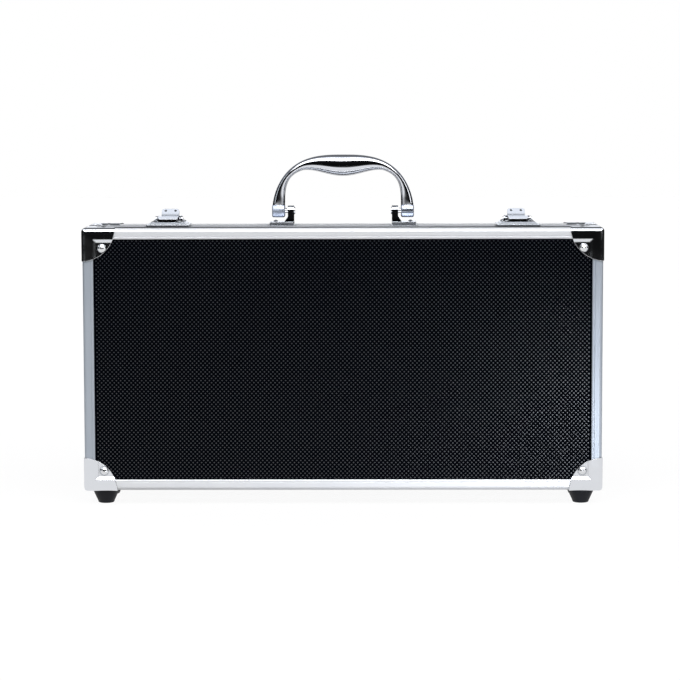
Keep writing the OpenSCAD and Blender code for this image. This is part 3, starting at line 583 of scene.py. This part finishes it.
def rounded_ring(half_w, half_l, radius, steps):
    """Points round a rectangle with round corners, centred on the origin of its plane."""
    ring = []
    for quarter, (sx, sy) in enumerate(((1, 1), (-1, 1), (-1, -1), (1, -1))):
        for step in range(steps + 1):
            turn = math.radians(90 * (quarter + step / steps))
            ring.append((sx * (half_w - radius) + radius * math.cos(turn),
                         sy * (half_l - radius) + radius * math.sin(turn)))
    return ring


def outwards(piece, weld=0.0):
    """Turns every face of a closed skin outwards and marks its sharp edges. Points within weld become one."""
    work = bmesh.new()
    work.from_mesh(piece.data)
    if weld:
        bmesh.ops.remove_doubles(work, verts=work.verts, dist=weld)
    bmesh.ops.recalc_face_normals(work, faces=work.faces)
    work.to_mesh(piece.data)
    work.free()
    sharpen(piece, SKIN_SHARP)


# Handle: an arch with a swollen grip, and two ends that turn on the pins
PIN = Vector(next(joint for joint in frame["joints"] if joint["name"] == "handle_fold")["pos_m"])
LEG_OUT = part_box("handle")[1].x
HANDLE_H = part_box("handle")[1].z - PIN.z
LEG_IN = 0.0488
CLEAR_H = 0.0361  # from the pins to the arch's inner curve, before the grip bulges
GRIP_LEN = 0.066
GRIP_DEPTH = 0.016
GRIP_BULGE = 0.007
GRIP_SOFT = 0.6  # share of the grip's swelling that ends softly
LEG_DEPTH = 0.0104
LEG_TAPER = 0.0018  # how much thinner the legs are at their ends, front to back
TAPER_H = 0.030  # height over which they thicken
OUTER_ACROSS, OUTER_UP, INNER_POWER, OVAL_POWER = 2.9, 1.9, 4.0, 0.8  # powers of the arch's curves
LUG_R = 0.007
LUG_LOW = PIN.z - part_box("handle")[0].z
LUG_TOP = 0.0046
LUG_SHOULDER = 0.0004
LUG_ROUND = 0.0013
UNDER_STEPS, BARREL_STEPS, SHOULDER_STEPS, LUG_CORNER_STEPS = 6, 24, 4, 6
ARCH_RINGS, ARCH_SIDES = 200, 48
ARCH_FROM = math.radians(4.4)  # where the arch's curve starts over the lugs


def power(x, n):
    return math.copysign(abs(x) ** n, x)


def swell(x):
    """How much the grip swells, from 0 at its ends to 1 in the middle."""
    share = abs(2 * x / GRIP_LEN)
    if share >= 1:
        return 0.0
    return GRIP_SOFT * math.cos(math.pi * share / 2) ** 2 + (1 - GRIP_SOFT) * (1 - share ** 2)


def oval(outer, inner, depth):
    """Ring of the arch between two points of its outer and inner curve."""
    ring = []
    for k in range(ARCH_SIDES):
        turn = 2 * math.pi * k / ARCH_SIDES
        along, aside = power(math.cos(turn), OVAL_POWER), power(math.sin(turn), OVAL_POWER)
        x, z = (((o + i) + (o - i) * along) / 2 for o, i in zip(outer, inner))
        ring.append(PIN + Vector((x, depth / 2 * aside, z)))
    return ring


def arch_ring(turn):
    angle = math.acos(max(-1, min(1, power(math.cos(turn), INNER_POWER / 2))))
    outer = (LEG_OUT * power(math.cos(angle), 2 / OUTER_ACROSS),
             HANDLE_H * power(math.sin(angle), 2 / OUTER_UP))
    x = LEG_IN * power(math.cos(angle), 2 / INNER_POWER)
    inner = (x, CLEAR_H * power(math.sin(angle), 2 / INNER_POWER) - GRIP_BULGE * swell(x))
    low = max(0.0, 1 - (outer[1] + inner[1]) / 2 / TAPER_H)
    return oval(outer, inner, LEG_DEPTH - LEG_TAPER * low + (GRIP_DEPTH - LEG_DEPTH) * swell(x))


def lug_levels():
    """Heights of a lug's rings over the pin, and how far each lies inside the lug's sides."""
    levels = [(-LUG_LOW + LUG_ROUND * (1 - math.cos(turn)), LUG_ROUND * (1 - math.sin(turn)))
              for turn in quarter_turn(UNDER_STEPS)]
    reach = LUG_TOP - LUG_SHOULDER + LUG_LOW - LUG_ROUND
    levels += [(-LUG_LOW + LUG_ROUND + reach * k / BARREL_STEPS, 0) for k in range(1, BARREL_STEPS + 1)]
    levels += [(LUG_TOP - LUG_SHOULDER * (1 - math.sin(turn)), LUG_SHOULDER * (1 - math.cos(turn)))
               for turn in quarter_turn(SHOULDER_STEPS)[1:]]
    return levels


def lug_rings(side):
    """Level rings of one of the handle's ends: a barrel round the pin with a flat, rounded underside."""
    half_w = (LEG_OUT - LEG_IN) / 2
    rings = []
    for z, inset in lug_levels():
        half_l = math.sqrt(LUG_R ** 2 - z ** 2)
        if z > 0:
            half_l = max(half_l, (LEG_DEPTH - LEG_TAPER) / 2 + LUG_SHOULDER)
        flat = rounded_ring(half_w - inset, half_l - inset, LUG_ROUND, LUG_CORNER_STEPS)
        rings.append([PIN + Vector((side * (LEG_IN + half_w) + u, v, z)) for u, v in flat])
    return rings


def make_handle():
    turns = [ARCH_FROM + (math.pi - 2 * ARCH_FROM) * i / ARCH_RINGS for i in range(ARCH_RINGS + 1)]
    level = LUG_TOP - LUG_SHOULDER
    ends = [oval((side * LEG_OUT, level), (side * LEG_IN, level), LEG_DEPTH - LEG_TAPER) for side in (1, -1)]
    arch = loft([ends[0], *(arch_ring(turn) for turn in turns), ends[1]])
    points, faces = joined([arch, loft(lug_rings(1)), loft(lug_rings(-1))])
    piece = add_piece("handle_arch", points, faces, HANDLE_CHROME, "handle")
    # The ends take the darker, bluer chrome, whose colour paints their reflection
    piece.data.materials.append(LUG_SATIN_PAINTED_REFLECTION)
    for face in piece.data.polygons[len(arch[1]):]:
        face.material_index = 1
    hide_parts("handle")
    outwards(piece)


# Linings: a flocked tray glued in each shell
LINING_T = 0.002
LINING_ROUND = 0.006
LINING_SLACK = 0.0004
LINING_CHAMFER = 0.001  # round the outside of its floor
LINING_BEND = 0.003  # between its floor and its walls, inside
LINING_STEPS = 8
LINING_WELD = 0.00002
FLOOR_CROWN = 0.0006


def make_lining(shell):
    """Tray with round corners, of rings down its outside and others down its inside to the floor's middle."""
    sign = SHELLS[shell]
    low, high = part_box(shell + "_lining")
    centre = middle(low, high)
    half_w, half_l = (high.x - low.x) / 2 - LINING_SLACK, (high.z - low.z) / 2 - LINING_SLACK
    rim = (low.y if sign > 0 else high.y) + sign * LINING_SLACK
    floor = (high.y if sign > 0 else low.y) - sign * LINING_SLACK
    inside = floor - sign * LINING_T

    def ring(inset, y):
        flat = rounded_ring(half_w - inset, half_l - inset, LINING_ROUND, LINING_STEPS)
        return [(centre.x + u, y, centre.z + v) for u, v in flat]

    outer = [ring(LINING_T / 2, rim), ring(0, rim + sign * LINING_T / 2),
             ring(0, floor - sign * LINING_CHAMFER), ring(LINING_CHAMFER, floor)]
    inner = [ring(LINING_T / 2, rim), ring(LINING_T, rim + sign * LINING_T / 2)]
    for turn in quarter_turn(LINING_STEPS):
        bend = LINING_BEND * (1 - math.sin(turn))
        inner.append(ring(LINING_T + LINING_BEND * (1 - math.cos(turn)), inside - sign * bend))
    floor_rim = inner[-1]
    for k in range(1, LINING_STEPS + 1):
        share = k / LINING_STEPS
        y = inside - sign * FLOOR_CROWN * math.sin(math.pi * share / 2)
        inner.append([(centre.x + (x - centre.x) * (1 - share), y, centre.z + (z - centre.z) * (1 - share))
                      for x, _, z in floor_rim])
    points, faces = bands(outer)
    faces.append(tuple(range(len(points) - len(floor_rim), len(points))))
    points, faces = joined([(points, faces), bands(inner)])
    piece = add_piece(shell + "_flocked_lining", points, faces, LINING, shell)
    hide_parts(shell + "_lining")
    outwards(piece, LINING_WELD)


# Floor, studio and lamps
FLOOR_REACH = 6.0
# Brightness of the floor in reflections, by the distance in front of the case, which is negative behind it
FLOOR_LEVELS = ((-6, 0.10), (-1.6, 0.12), (-0.5, 0.5), (0, 0.85), (0.4, 0.85), (1.1, 0.95), (1.4, 0.5),
                (1.8, 0.02), (2.3, 0.003), (6, 0.002))
FLOOR_ENDS = (1.2, 2.2)  # distances to the left and right between which it fades to dark in reflections
FLOOR_DARK = (0.003, 0.003, 0.003)
FLOOR_SEEN = ((0.0, 0.20), (0.4, 0.35), (1.2, 0.85))  # its glow for the camera, by the distance all round
FLOOR_VEIL = 0.08  # how much of the floor the camera sees, so that the open lid shows where it hangs below it
FLOOR_PALE = 0.80  # the floor's own colour, on which the shadow falls
FLOOR_UNSEEN = 0.01  # its own colour for anything but the camera
FLOOR_BOUNCE = 0.24  # share of the brightness that lights the case
# Studio's light over an arc, in degrees from the horizon behind the camera, over the top, to the back
STUDIO_ARC = ((0, 0.003), (18, 0.006), (25, 0.030), (43, 0.045), (47, 0.9), (84, 0.95), (91, 0.17),
              (166, 0.16), (171, 0.95), (180, 1))
STUDIO_TINT = (0.95, 0.98, 1.04)
# Its light away from the middle, over the height above the horizon
STUDIO_SIDES = ((0, 0.02), (16, 0.03), (34, 0.20), (90, 0.24))
SIDES_TINT = (0.94, 0.98, 1.06)
SIDE_FROM, SIDE_TO = 0.40, 0.56  # where the middle ends, as a share of a direction that points sideways
LAMPS_AIM = (0, 0, 0.12)


def floor_light(tree, camera_ray):
    """Colour of the floor's glow, one for reflections and one for the camera."""
    place = node(tree, "TexCoord")
    split = node(tree, "SeparateXYZ")
    link(tree, place.outputs["Object"], split.inputs["Vector"])
    ahead = ranged(tree, split.outputs["Y"], 1, 0, -FLOOR_REACH, FLOOR_REACH)
    levels = ramp_of(tree, ahead, [((y / FLOOR_REACH + 1) / 2, level) for y, level in FLOOR_LEVELS])
    aside = calculated(tree, "ABSOLUTE", split.outputs["X"], 0.0)
    levels = mixed(tree, ranged(tree, aside, 0, 1, *FLOOR_ENDS), levels, FLOOR_DARK)
    round_about = node(tree, "VectorMath", operation="LENGTH")
    link(tree, place.outputs["Object"], round_about.inputs[0])
    far = calculated(tree, "DIVIDE", round_about.outputs["Value"], FLOOR_REACH)
    seen = ramp_of(tree, far, [(distance / FLOOR_REACH, level) for distance, level in FLOOR_SEEN])
    return mixed(tree, camera_ray, levels, seen)


def pale_floor():
    """Floor that glows in reflections, catches the shadow and is mostly clear to the camera."""
    made, tree, shader = material("pale_floor", (0.10, 0.10, 0.10), roughness=0.9, specular=0.0)
    glow = node(tree, "Emission")
    rays = node(tree, "LightPath")
    camera_ray = rays.outputs["Is Camera Ray"]
    link(tree, floor_light(tree, camera_ray), glow.inputs["Color"])
    direct = calculated(tree, "MAXIMUM", camera_ray, rays.outputs["Is Glossy Ray"])
    link(tree, ranged(tree, direct, FLOOR_BOUNCE, 1, 0, 1), glow.inputs["Strength"])
    link(tree, ranged(tree, camera_ray, FLOOR_UNSEEN, FLOOR_PALE, 0, 1), shader.inputs["Base Color"])
    both = node(tree, "AddShader")
    link(tree, shader.outputs["BSDF"], both.inputs[0])
    link(tree, glow.outputs["Emission"], both.inputs[1])
    clear = node(tree, "BsdfTransparent")
    camera_clear = calculated(tree, "MULTIPLY", camera_ray, 1 - FLOOR_VEIL)
    clearness = calculated(tree, "MAXIMUM", camera_clear, rays.outputs["Is Shadow Ray"])
    through = node(tree, "MixShader")
    link(tree, clearness, through.inputs["Fac"])
    link(tree, both.outputs["Shader"], through.inputs[1])
    link(tree, clear.outputs["BSDF"], through.inputs[2])
    link(tree, through.outputs["Shader"], tree.nodes["Material Output"].inputs["Surface"])
    return made


def make_floor():
    mesh = bpy.data.meshes.new("floor")
    corners = [(FLOOR_REACH * x, FLOOR_REACH * y, 0) for x, y in ((-1, -1), (1, -1), (1, 1), (-1, 1))]
    mesh.from_pydata(corners, [], [(0, 1, 2, 3)])
    floor = bpy.data.objects.new("floor", mesh)
    bpy.context.scene.collection.objects.link(floor)
    mesh.materials.append(pale_floor())


def make_world():
    """White for the camera. In reflections a softbox hangs over the middle, and the sides are grey."""
    world = bpy.data.worlds.new("studio")
    bpy.context.scene.world = world
    world.use_nodes = True
    tree = world.node_tree
    background = tree.nodes["Background"]
    rays = node(tree, "LightPath")
    place = node(tree, "TexCoord")
    split = node(tree, "SeparateXYZ")
    link(tree, place.outputs["Generated"], split.inputs["Vector"])
    towards_camera = calculated(tree, "MULTIPLY", split.outputs["Y"], -1.0)
    arc = calculated(tree, "ARCTAN2", split.outputs["Z"], towards_camera)
    along_arc = calculated(tree, "DIVIDE", arc, math.pi)
    arc_stops = [(angle / 180, level) for angle, level in STUDIO_ARC]
    middle_light = ramp_of(tree, along_arc, arc_stops, STUDIO_TINT)
    height = calculated(tree, "ARCSINE", split.outputs["Z"], 0.0)
    raised = calculated(tree, "DIVIDE", height, math.pi / 2)
    side_stops = [(angle / 90, level) for angle, level in STUDIO_SIDES]
    side_light = ramp_of(tree, raised, side_stops, SIDES_TINT)
    aside = calculated(tree, "ABSOLUTE", split.outputs["X"], 0.0)
    studio = mixed(tree, ranged(tree, aside, 0, 1, SIDE_FROM, SIDE_TO), middle_light, side_light)
    shown = mixed(tree, rays.outputs["Is Camera Ray"], studio, (1, 1, 1))
    link(tree, shown, background.inputs["Color"])
    background.inputs["Strength"].default_value = 1.0


def lamp(name, at, size, watts, aim=LAMPS_AIM, tint=(1, 1, 1), spread=180):
    data = bpy.data.lights.new(name, "AREA")
    data.shape = "RECTANGLE"
    data.size, data.size_y = size
    data.energy = watts
    data.color = tint
    data.spread = math.radians(spread)
    made = bpy.data.objects.new(name, data)
    made.location = at
    made.rotation_euler = (Vector(aim) - Vector(at)).to_track_quat("-Z", "Y").to_euler()
    bpy.context.scene.collection.objects.link(made)


def make_lamps():
    lamp("overhead", at=(0.1, -1.7, 2.1), size=(3.2, 1.6), watts=72)
    lamp("left_strip", at=(-2.0, -1.3, 0.9), size=(0.7, 1.6), watts=3, tint=(0.90, 0.96, 1.0))
    lamp("right_strip", at=(2.0, -1.3, 0.9), size=(0.7, 1.6), watts=8)
    lamp("low_right", at=(0.37, -0.80, 0.03), size=(0.16, 0.05), watts=0.15,
         aim=(0.12, 0, -0.09), tint=(0.84, 0.90, 1.0), spread=44)


make_camera()
for name in NODES:
    dress(name)
for shell in SHELLS:
    make_panel(shell)
    make_walls(shell)
make_handle()
for shell in SHELLS:
    make_lining(shell)
bpy.context.scene.view_settings.view_transform = "Standard"
make_floor()
make_world()
make_lamps()
